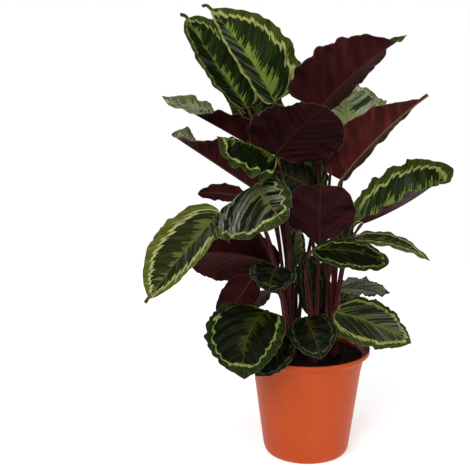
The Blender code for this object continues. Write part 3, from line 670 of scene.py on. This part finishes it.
def add_bracts(crown, seed, points, faces, values):
    """Short pointed sheaths that wrap the foot of a shoot."""
    chance = np.random.default_rng(abs(seed) + 50)
    for number in range(BRACT_COUNT):
        middle = 2 * pi * number / BRACT_COUNT + chance.uniform(-0.3, 0.3)
        height = chance.uniform(0.9, 1.6) * SHEATH_RISE
        faces += sheet_faces(BRACT_ROWS + 1, BRACT_COLUMNS + 1, len(points))[0]
        for layer in (0, 1):
            for i in range(BRACT_ROWS + 1):
                v = i / BRACT_ROWS
                reach = BRACT_REACH * sqrt(max(1 - v ** 1.6, 0.0)) + 0.04
                radius = SHEATH_RADIUS + (SHEATH_NECK - SHEATH_RADIUS) * v + BRACT_LAP * (number % 2)
                radius += BRACT_FLARE * v ** 3 - layer * BRACT_THICKNESS * MM
                lift = v * height - BRACT_SUNK * SHEATH_DEPTH * (1 - v)
                for j in range(BRACT_COLUMNS + 1):
                    turn = middle + reach * (2 * j / BRACT_COLUMNS - 1)
                    points.append(crown + np.array([radius * cos(turn), radius * sin(turn), lift]))
                    values.append((0.1 * v, BRACT_BACK, number + 0.5))


MOULD_LINE = 0.1215
MOULD_STEP = 0.0004


def outer_radius(height):
    """The pot's outside radius at a height above its foot."""
    slope = (WALL_TOP_RADIUS - WALL_FOOT_RADIUS) / (POT_HEIGHT - LIP_HEIGHT - FOOT_CORNER)
    return WALL_FOOT_RADIUS + slope * (height - FOOT_CORNER)


def inner_radius(height):
    """The pot's inside radius at a height above its foot."""
    return outer_radius(height) - WALL_THICKNESS


CORNER_STEPS = 5


def rounded(profile):
    """A profile of (radius, height, fillet) corners as a fine line of (radius, height) points."""
    line = []
    for i, (x, z, fillet) in enumerate(profile):
        corner = np.array([x, z])
        if fillet == 0:
            line.append(corner)
            continue
        before = np.array(profile[i - 1][:2]) - corner
        after = np.array(profile[i + 1][:2]) - corner
        reach = min(fillet, 0.45 * np.linalg.norm(before), 0.45 * np.linalg.norm(after))
        start = corner + unit(before) * reach
        end = corner + unit(after) * reach
        for t in np.linspace(0, 1, CORNER_STEPS):
            line.append((1 - t) ** 2 * start + 2 * (1 - t) * t * corner + t * t * end)
    return line


POT_SEGMENTS = 160
SHARP_ANGLE = 50
CUTTER_HEIGHT = 0.004
CUTTER_DEPTH = 0.02


def build_pot():
    """The pot, turned finely, with its drain holes and the line moulded under the lip."""
    lip_foot = POT_HEIGHT - LIP_HEIGHT
    cove = lip_foot - COVE_HEIGHT
    line = rounded([
        (0.0, FLOOR_HEIGHT, 0),
        (inner_radius(FLOOR_HEIGHT + INNER_CORNER), FLOOR_HEIGHT, 0.003),
        (inner_radius(lip_foot - 0.003), lip_foot - 0.003, 0.002),
        (RIM_RADIUS - LIP_WIDTH, lip_foot + 0.0008, 0.002),
        (RIM_RADIUS - LIP_TOP, POT_HEIGHT, 0.0008),
        (RIM_RADIUS, POT_HEIGHT, 0.0008),
        (RIM_RADIUS, lip_foot, 0.0008),
        (RIM_RADIUS - LIP_RETURN, lip_foot - 0.0006, 0.0008),
        (WALL_TOP_RADIUS + 0.0016, lip_foot - 0.5 * COVE_HEIGHT, 0.002),
        (WALL_TOP_RADIUS + 0.0003, cove + 0.0006, 0.0004),
        (WALL_TOP_RADIUS, cove, 0.0003),
        (outer_radius(MOULD_LINE) + MOULD_STEP, MOULD_LINE + 0.0004, 0.0002),
        (outer_radius(MOULD_LINE) - 0.5 * MOULD_STEP, MOULD_LINE, 0.0002),
        (WALL_FOOT_RADIUS, FOOT_CORNER, 0.004),
        (WALL_FOOT_RADIUS - 0.0022, 0.0026, 0.002),
        (FOOT_RADIUS, 0.0, 0.0010),
        (CHANNEL_OUTER + 0.0008, 0.0, 0.0006),
        (CHANNEL_OUTER, CHANNEL_DEPTH, 0.0008),
        (CHANNEL_INNER, CHANNEL_DEPTH, 0.0008),
        (CHANNEL_INNER - 0.0008, 0.0, 0.0006),
        (0.0, 0.0, 0),
    ])
    points = [(0.0, 0.0, line[0][1])]
    for radius, height in line[1:-1]:
        points += [(*on_circle(radius, k, POT_SEGMENTS), height) for k in range(POT_SEGMENTS)]
    points.append((0.0, 0.0, line[-1][1]))
    faces = fan_faces(len(line) - 2, POT_SEGMENTS, closed=True)
    pot = add_piece("nursery_pot", points, faces, [pot_skin()], ["pot"])
    cutters = [drain_cutter(*on_circle(DRAIN_CIRCLE, i + 0.5, DRAIN_COUNT)) for i in range(DRAIN_COUNT)]
    for cutter in cutters:
        cut = pot.modifiers.new("drain", "BOOLEAN")
        cut.operation = "DIFFERENCE"
        cut.object = cutter
    graph = bpy.context.evaluated_depsgraph_get()
    mesh = bpy.data.meshes.new_from_object(pot.evaluated_get(graph))
    pot.modifiers.clear()
    pot.data = mesh
    for cutter in cutters:
        bpy.data.objects.remove(cutter)
    mesh.set_sharp_from_angle(angle=radians(SHARP_ANGLE))


def drain_cutter(x, y):
    """An upright round cutter for one drain hole."""
    shape = bmesh.new()
    bmesh.ops.create_cone(shape, cap_ends=True, segments=32, radius1=DRAIN_RADIUS, radius2=DRAIN_RADIUS,
                          depth=CUTTER_DEPTH)
    mesh = bpy.data.meshes.new("cutter")
    shape.to_mesh(mesh)
    shape.free()
    return add_object("cutter", mesh, (x, y, CUTTER_HEIGHT))


SOIL_RINGS = 70
SOIL_SPOKES = 220
SOIL_LIFT = 0.0012
SOIL_GAP = 0.0003
SOIL_BUMPS = ((0.030, 0.0010), (0.013, 0.0008), (0.006, 0.0006), (0.003, 0.0004))
CRUMB_COUNT = 420
BARK_EVERY = 6
BARK_SHAPE = (2.2, 0.6, 0.35)


def soil_height(x, y):
    """The height of the crumbly soil at a place."""
    share = np.hypot(x, y) / inner_radius(SOIL_LEVEL)
    height = SOIL_LEVEL + SOIL_LIFT + SOIL_MOUND * (1 - share ** 2)
    chance = np.random.default_rng(7)
    for size, lift in SOIL_BUMPS:
        for _ in range(6):
            way = chance.uniform(0, 2 * pi)
            phase = chance.uniform(0, 2 * pi)
            height = height + lift / 2 * np.sin(2 * pi / size * (x * cos(way) + y * sin(way)) + phase)
    return float(height)


def build_soil_top():
    """The soil's crumbly surface with loose crumbs and bits of bark on it."""
    edge = inner_radius(SOIL_LEVEL + SOIL_LIFT) - SOIL_GAP
    points = [(0.0, 0.0, soil_height(0.0, 0.0))]
    for i in range(1, SOIL_RINGS):
        for k in range(SOIL_SPOKES):
            x, y = on_circle(edge * i / SOIL_RINGS, k, SOIL_SPOKES)
            points.append((x, y, soil_height(x, y)))
    points += [(*on_circle(edge, k, SOIL_SPOKES), SOIL_LEVEL - MM) for k in range(SOIL_SPOKES)]
    faces = fan_faces(SOIL_RINGS, SOIL_SPOKES)
    chance = np.random.default_rng(11)
    shape = bmesh.new()
    bmesh.ops.create_icosphere(shape, subdivisions=2, radius=1.0)
    ball = np.array([vert.co[:] for vert in shape.verts])
    ball_faces = [[vert.index for vert in face.verts] for face in shape.faces]
    shape.free()
    for number in range(CRUMB_COUNT):
        radius = edge * 0.96 * sqrt(chance.uniform(0, 1))
        angle = chance.uniform(0, 2 * pi)
        x, y = radius * cos(angle), radius * sin(angle)
        size = chance.uniform(0.0007, 0.0022)
        stretch = np.array([1.0, chance.uniform(0.5, 1.0), chance.uniform(0.4, 0.8)])
        if number % BARK_EVERY == 0:
            stretch = np.array(BARK_SHAPE)
        bumps = 1 + 0.22 * np.sin(ball @ chance.uniform(-4, 4, 3) + 1)
        bumps = bumps + 0.15 * np.sin(ball @ chance.uniform(-8, 8, 3))
        turn = chance.uniform(0, 2 * pi)
        crumb = ball * bumps[:, None] * stretch * size
        spun = crumb @ np.array([[cos(turn), sin(turn), 0], [-sin(turn), cos(turn), 0], [0, 0, 1]])
        spun += np.array([x, y, soil_height(x, y) + 0.25 * size])
        first = len(points)
        points.extend(map(tuple, spun))
        faces.extend([tuple(first + k for k in face) for face in ball_faces])
    add_piece("soil_crumbs", points, faces, [soil_skin("soil crumbs")])


# Materials

class Output:
    """A node's output, which sums can be written with."""

    def __init__(self, skin, socket):
        self.skin = skin
        self.socket = socket

    def __add__(self, other):
        return self.skin.math("ADD", self, other)

    def __sub__(self, other):
        return self.skin.math("SUBTRACT", self, other)

    def __mul__(self, other):
        return self.skin.math("MULTIPLY", self, other)

    def __truediv__(self, other):
        return self.skin.math("DIVIDE", self, other)


class Skin:
    """One material, with short calls that add its nodes and return their outputs."""

    def __init__(self, name, specular):
        self.material = bpy.data.materials.new(name)
        self.material.use_nodes = True
        self.nodes = self.material.node_tree.nodes
        self.links = self.material.node_tree.links
        self.shader = self.nodes["Principled BSDF"]
        self.shader.inputs["Specular IOR Level"].default_value = specular

    def feed(self, socket, value):
        """Link an output to a socket, or set the socket's value."""
        if isinstance(value, Output):
            self.links.new(value.socket, socket)
        elif isinstance(value, tuple):
            socket.default_value = (*value, 1.0)
        else:
            socket.default_value = value

    def node(self, kind, inputs, output=0, **settings):
        """Add a node with its settings and inputs, and return one of its outputs."""
        node = self.nodes.new("ShaderNode" + kind)
        for name, value in settings.items():
            setattr(node, name, value)
        for key, value in inputs.items():
            self.feed(node.inputs[key], value)
        return Output(self, node.outputs[output])

    def math(self, operation, a, b=0.0):
        """The result of one sum."""
        return self.node("Math", {0: a, 1: b}, operation=operation)

    def vector(self, x, y, z):
        """A vector from three values."""
        return self.node("CombineXYZ", {0: x, 1: y, 2: z})

    def parts(self, vector):
        """A vector's three values."""
        node = self.node("SeparateXYZ", {0: vector}).socket.node
        return [Output(self, socket) for socket in node.outputs]

    def attribute(self, name):
        """The three values of a vector that the mesh stores."""
        return self.parts(self.node("Attribute", {}, "Vector", attribute_name=name))

    def place(self):
        """The point on the object, in metres."""
        return self.node("TexCoord", {}, "Object")

    def noise(self, vector, scale=1.0, detail=2.0, rough=0.5):
        """Smooth noise about one half."""
        return self.node("TexNoise", {"Vector": vector, "Scale": scale, "Detail": detail, "Roughness": rough})

    def cell(self, value):
        """A random value for each whole number."""
        whole = self.math("FLOOR", value)
        return self.node("TexWhiteNoise", {"W": whole}, "Value", noise_dimensions="1D")

    def step(self, value, edge, soft):
        """0 below an edge and 1 above it, with a soft rise."""
        inputs = {0: value, 1: edge - soft, 2: edge + soft}
        return self.node("MapRange", inputs, interpolation_type="SMOOTHSTEP")

    def below(self, value, edge, soft):
        """1 below an edge and 0 above it, with a soft fall."""
        return self.math("SUBTRACT", 1.0, self.step(value, edge, soft))

    def range(self, value, low, high, to_low=0.0, to_high=1.0):
        """A value carried from one range to another."""
        return self.node("MapRange", {0: value, 1: low, 2: high, 3: to_low, 4: to_high})

    def mix(self, share, a, b):
        """Two colours mixed."""
        return self.node("Mix", {0: share, 6: a, 7: b}, 2, data_type="RGBA")

    def varied(self, noise, share, colour):
        """A colour that noise takes from a darker share of itself to its full strength."""
        return self.mix(self.range(noise, *MIDDLING), scaled(colour, share), colour)

    def bump(self, height, distance, strength, **after):
        """A surface normal from a height in the same unit as distance."""
        return self.node("Bump", {"Height": height, "Distance": distance, "Strength": strength, **after})

    def finish(self, colour, roughness, normal=None):
        """Give the results to the shader and return the material."""
        self.feed(self.shader.inputs["Base Color"], colour)
        self.feed(self.shader.inputs["Roughness"], roughness)
        if normal:
            self.feed(self.shader.inputs["Normal"], normal)
        return self.material


def scaled(colour, share):
    """A colour made darker or lighter."""
    return tuple(share * value for value in colour)


# The range that noise mostly stays in
MIDDLING = (0.3, 0.7)
# The spacing of the side veins, and of the ring's larger steps, in millimetres
VEIN_FIELD = 4.6
STEP_FIELD = 13.0
# Streaks along the side veins: their width and length in millimetres, and a shift that sets them apart
SWAY = (9.0, 60.0, 3.0)
COARSE = (5.5, 34.0, 0.0)
FINE = (1.5, 20.0, 11.0)
BAND_STREAKS = (6.0, 30.0, 41.0)
GLINT_STREAKS = (2.0, 26.0, 91.0)
MIDDLE_STREAKS = (7.0, 60.0, 53.0)
# How far each noise moves the ring, as a share of its spikes, and the feather, in millimetres
RING_STEPS = {"own": 0.5, "slope": 0.4, "drift": 1.3, "jump": 0.7}
INNER_SPIKES = {"coarse": 1.0, "hair": 0.35, "fine": 0.4}
OUTER_SPIKES = {"fine": 0.3, "hair": 0.1}
FEATHER_SPIKES = {"own": 13.0, "hair": 9.0, "slope": 7.0, "fine": 8.0}
GLINTS = {"olive": 0.28, "pale": 0.28, "silver": 0.28}
FAINT_GLINT = 0.08


def upper_skin(name, finish):
    """The leaf's face: a green band, a jagged pale ring, a dark middle, a light feather and a midrib."""
    skin = Skin(name + " face", 0.05)
    ring, feather, rib = skin.attribute("zones")
    lateral, across, seed = skin.attribute("veins")
    length, margin, crest = skin.attribute("edges")
    tone = TONES[finish.tone]
    left = skin.math("GREATER_THAN", across, 0.0)
    offset = left * 31.0 + seed * 7.3

    def streaks(kind, grain=1.0):
        """Noise in streaks that follow the side veins."""
        width, reach, shift = kind
        spot = skin.vector(lateral / (width * grain), across / reach, offset + shift)
        return skin.noise(spot, rough=0.6)

    # The fields between the side veins: each has its own share of the pattern, which steps at the vein
    sway = streaks(SWAY)
    field = lateral / VEIN_FIELD + sway * 1.6
    own = skin.cell(field + offset * 17.0)
    slope = skin.math("FRACT", field)
    hair = skin.cell((field + offset) * 4.0)

    # The ring drifts along a few fields and then jumps back
    drift = lateral / STEP_FIELD + sway * 1.2
    jump = skin.cell(drift + offset * 3.0)
    drift = skin.math("FRACT", drift)

    coarse = streaks(COARSE, finish.grain)
    fine = streaks(FINE)
    noises = {"own": own, "slope": slope, "hair": hair, "drift": drift, "jump": jump, "coarse": coarse,
              "fine": fine}

    def jagged(value, spikes, size=1.0):
        """A distance that noises move in and out."""
        for kind, share in spikes.items():
            value = value + (noises[kind] - 0.5) * (share * size)
        return value

    stepped = jagged(ring, RING_STEPS, finish.jag)
    half = 0.5 * finish.ring_width
    in_ring = skin.step(jagged(stepped, OUTER_SPIKES, finish.jag), -half, 0.45)
    in_middle = skin.step(jagged(stepped, INNER_SPIKES, finish.jag), half, 0.7)
    in_feather = skin.step(jagged(feather, FEATHER_SPIKES), 0.0, 1.2)

    band = skin.mix(skin.range(streaks(BAND_STREAKS), 0.35, 0.65), scaled(tone.band, 0.72),
                    scaled(tone.band, 1.3))
    glint = skin.step(streaks(GLINT_STREAKS), 0.60, 0.06) * GLINTS.get(finish.tone, FAINT_GLINT)
    band = skin.mix(glint, band, tone.ring)
    middle = skin.mix(skin.step(streaks(MIDDLE_STREAKS), 0.56, 0.12) * 0.8, tone.dark, tone.middle)
    silver_left, silver_right = pair(finish.silver)
    share = skin.range(left, 0.0, 1.0, silver_right, silver_left)
    # Silvery patches in the middle: partly the leaf's own silver markings and partly painted sheen
    level = coarse * 0.7 + own * 0.3 + share * 0.28
    silver_and_sheen = skin.step(level, 0.68, 0.07) * skin.math("MINIMUM", 1.0, share * 2.2)
    middle = skin.mix(silver_and_sheen, middle, skin.varied(fine, 0.6, tone.silver))
    colour = skin.mix(in_ring, band, skin.varied(fine, 0.62, tone.ring))
    colour = skin.mix(in_middle, colour, middle)
    colour = skin.mix(in_feather * in_middle, colour, skin.varied(fine, 0.6, tone.feather))
    colour = skin.mix(skin.below(slope, 0.07, 0.06) * 0.35, colour, scaled(tone.dark, 0.4))
    if finish.creases:
        crease = skin.below(crest, 0.16, 0.14) * in_middle
        colour = skin.mix(crease * finish.creases, colour, tone.feather)
    colour = skin.mix(skin.below(rib, 0.0, 0.25) * 0.85, colour, RIBS[finish.rib])
    colour = skin.mix(skin.below(margin, 0.55, 0.25) * 0.5, colour, PALE_EDGE)
    if finish.tip:
        colour = skin.mix(skin.step(length, 1.0 - finish.tip, 0.4 * finish.tip), colour, TIP_BROWN)
    roughness = skin.range(coarse, *MIDDLING, 0.40, 0.55)
    return skin.finish(colour, roughness, skin.bump(slope * slope * 0.25 + fine * 0.30, 0.0006, 0.7))


UNDER_REACH = 30.0
UNDER_STREAK = 11.0
UNDER_PATCH = 26.0


def under_skin(name, finish):
    """The leaf's burgundy underside, with side veins and a lighter midrib."""
    skin = Skin(name + " underside", 0.045)
    rib = skin.attribute("zones")[2]
    lateral, across, seed = skin.attribute("veins")
    margin = skin.attribute("edges")[1]
    under = UNDERS[finish.under]
    offset = skin.math("GREATER_THAN", across, 0.0) * 17.0 + seed * 5.1
    streak, patch = [skin.noise(skin.vector(lateral / size, across / UNDER_REACH, offset))
                     for size in (UNDER_STREAK, UNDER_PATCH)]
    vein = skin.below(skin.math("FRACT", lateral / VEIN_FIELD + streak), 0.08, 0.08)
    colour = skin.mix(skin.step(streak, 0.54, 0.16), under.skin, under.streak)
    colour = skin.mix(skin.range(patch, 0.35, 0.7, 0.0, 0.45), colour, scaled(under.skin, 0.6))
    colour = skin.mix(vein * 0.12, colour, under.rib)
    colour = skin.mix(skin.below(rib, 0.35, 0.45) * 0.8, colour, under.rib)
    colour = skin.mix(skin.below(margin, 0.5, 0.3) * 0.35, colour, PALE_EDGE)
    roughness = skin.range(streak, *MIDDLING, 0.48, 0.62)
    return skin.finish(colour, roughness, skin.bump(vein * 0.35 + streak * 0.9, 0.0010, 0.8))


STALK_DARK = (0.022, 0.0045, 0.0035)
STALK_RED = (0.058, 0.0110, 0.0090)
STALK_PINK = (0.170, 0.036, 0.030)
STALK_NECK_COLOUR = (0.120, 0.055, 0.022)
STALK_GRAIN = 900.0
STALK_STRETCH = 26.0


def stalk_skin(name):
    """The stalks' burgundy skin, streaked lengthwise, with paler edges and a browner neck."""
    skin = Skin(name + " skin", 0.07)
    along, back, seed = skin.attribute("stalk")
    whole = skin.math("FLOOR", seed)
    x, y, z = skin.parts(skin.place())
    spot = skin.vector(x * STALK_GRAIN, y * STALK_GRAIN, z * STALK_STRETCH + whole * 3.7)
    streak = skin.noise(spot, 1.0, 3.0, 0.6)
    tone = skin.noise(skin.vector(whole, 0.5, along * 1.4), 2.3, 1.0)
    colour = skin.mix(skin.range(tone, 0.35, 0.65), STALK_DARK, STALK_RED)
    colour = skin.mix(skin.step(streak, 0.60, 0.10) * 0.7, colour, STALK_PINK)
    turn = skin.math("COSINE", skin.math("FRACT", seed) * (2 * pi))
    rim = skin.step(skin.math("ABSOLUTE", turn), 0.86, 0.12) * skin.below(along, 0.6, 0.3)
    colour = skin.mix(rim * 0.6, colour, STALK_PINK)
    neck = skin.below(back, PULVINUS_LENGTH - 2, 3.0)
    colour = skin.mix(neck * 0.7, colour, STALK_NECK_COLOUR)
    return skin.finish(colour, skin.range(streak, *MIDDLING, 0.34, 0.5), skin.bump(streak, 0.0006, 0.6))


SOIL_DARK = (0.007, 0.004, 0.003)
SOIL_BROWN = (0.030, 0.017, 0.011)
SOIL_BITS = (0.055, 0.030, 0.018)


def soil_skin(name):
    """Dark, damp peat with browner bits."""
    skin = Skin(name, 0.25)
    place = skin.place()
    grain = skin.noise(place, 900.0, 4.0, 0.7)
    patch = skin.noise(place, 140.0, 2.0, 0.6)
    colour = skin.mix(skin.range(grain, 0.35, 0.7), SOIL_DARK, SOIL_BROWN)
    colour = skin.mix(skin.step(patch, 0.62, 0.06) * 0.6, colour, SOIL_BITS)
    return skin.finish(colour, skin.range(grain, *MIDDLING, 0.8, 0.98), skin.bump(grain, 0.0012, 0.9))


POT_COLOUR = (0.480, 0.070, 0.015)
POT_SHADE = (0.450, 0.064, 0.013)
POT_DUST = (0.520, 0.130, 0.055)
# The painted shade under the lip: its colour, and how far below the lip's foot its middle lies
POT_LIP_SHADE = (0.220, 0.026, 0.007)
LIP_SHADE_DROP = 0.0012
# How fine the pot's mottling and its scuffs are, level and upright
FLOW_SCALE = (24.0, 9.0)
SCUFF_SCALE = (60.0, 420.0)


def pot_skin():
    """Moulded terracotta-coloured plastic: satin, faintly mottled, with a little dust and rubbing, and a line
    of painted shade under the lip.
    """
    skin = Skin("pot plastic", 0.10)
    place = skin.place()
    x, y, z = skin.parts(place)
    flow, scuff = [skin.vector(x * level, y * level, z * upright)
                   for level, upright in (FLOW_SCALE, SCUFF_SCALE)]
    flow = skin.noise(flow, 1.0, 3.0, 0.55)
    scuff = skin.noise(scuff, 1.0, 4.0, 0.7)
    grain = skin.noise(place, 1500.0, 3.0, 0.6)
    colour = skin.mix(skin.range(flow, 0.35, 0.65), POT_SHADE, POT_COLOUR)
    dust = skin.step(scuff, 0.60, 0.08) * (skin.below(z, 0.012, 0.016) * 0.35 + 0.05)
    colour = skin.mix(dust, colour, POT_DUST)
    # A line of painted shade just under the lip
    lip_shade_distance = skin.math("ABSOLUTE", z - (POT_HEIGHT - LIP_HEIGHT - LIP_SHADE_DROP))
    colour = skin.mix(skin.below(lip_shade_distance, 0.0010, 0.0009) * 0.5, colour, POT_LIP_SHADE)
    roughness = skin.range(scuff, *MIDDLING, 0.34, 0.46) + dust * 0.2
    normal = skin.bump(flow, 0.0010, 0.10, Normal=skin.bump(grain, 0.0002, 0.25))
    return skin.finish(colour, roughness, normal)


# Stage

WHITE = (1.0, 1.0, 1.0, 1.0)
FLOOR_TINTS = ((0.90, 0.90, 0.90), (0.93, 0.93, 0.93))
FLOOR_RADIUS = 1.1
FLOOR_SIDES = 96
FLOOR_GLOW = 0.5
WORLD_STRENGTH = 0.15
LIGHT_TARGET = (0.0, 0.0, 0.30)
# Each light's place, size in metres and power in watts
LIGHTS = {
    "key light": ((-0.9, -2.1, 1.8), 1.2, 46.0),
    "fill light": ((1.8, -1.4, 1.1), 1.2, 17.0),
    "back light": ((-0.9, 2.0, 1.1), 1.3, 16.0),
    "top light": ((0.0, -0.3, 2.6), 1.6, 16.0),
}


def add_light(name, place, size, power):
    """A soft square light that looks at the plant."""
    lamp = bpy.data.lights.new(name, "AREA")
    lamp.shape = "SQUARE"
    lamp.size = size
    lamp.energy = power
    way = Vector(LIGHT_TARGET) - Vector(place)
    add_object(name, lamp, place).rotation_euler = way.to_track_quat("-Z", "Y").to_euler()


def build_stage():
    """The floor, the lights, the plain surroundings and the camera."""
    skin = Skin("floor", 0.1)
    skin.shader.inputs["Emission Color"].default_value = WHITE
    skin.shader.inputs["Emission Strength"].default_value = FLOOR_GLOW
    mesh = bpy.data.meshes.new("floor")
    rim = [(*on_circle(FLOOR_RADIUS, k, FLOOR_SIDES), 0) for k in range(FLOOR_SIDES)]
    mesh.from_pydata(rim, [], [range(FLOOR_SIDES)])
    mesh.materials.append(skin.finish(skin.mix(skin.noise(skin.place(), 3.0), *FLOOR_TINTS), 0.9))
    add_object("floor", mesh)

    world = bpy.data.worlds.new("surroundings")
    world.use_nodes = True
    nodes = world.node_tree.nodes
    background = nodes["Background"]
    background.inputs["Color"].default_value = WHITE
    rays = nodes.new("ShaderNodeLightPath")
    strength = nodes.new("ShaderNodeMapRange")
    strength.inputs["To Min"].default_value = WORLD_STRENGTH
    world.node_tree.links.new(rays.outputs["Is Camera Ray"], strength.inputs[0])
    world.node_tree.links.new(strength.outputs[0], background.inputs["Strength"])
    bpy.context.scene.world = world

    for name, (place, size, power) in LIGHTS.items():
        add_light(name, place, size, power)

    bpy.context.scene.view_settings.view_transform = "Standard"
    bpy.context.scene.view_settings.look = "None"

    lens = bpy.data.cameras.new("camera")
    lens.lens = CAMERA_LENS
    lens.sensor_width = CAMERA_SENSOR
    lens.clip_end = 200.0
    camera = add_object("camera", lens, CAMERA_PLACE)
    camera.rotation_euler = (radians(90 - CAMERA_PITCH), 0.0, 0.0)
    bpy.context.scene.camera = camera


def main():
    """Dress the whole plant."""
    build_stage()
    build_pot()
    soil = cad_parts["potting_soil"]
    soil.material_slots[0].material = soil_skin("soil body")
    build_soil_top()
    for name in SHOOTS:
        build_shoot(name)
    for seed, blade in enumerate(LEAVES, 1):
        build_leaf(blade, seed)


main()
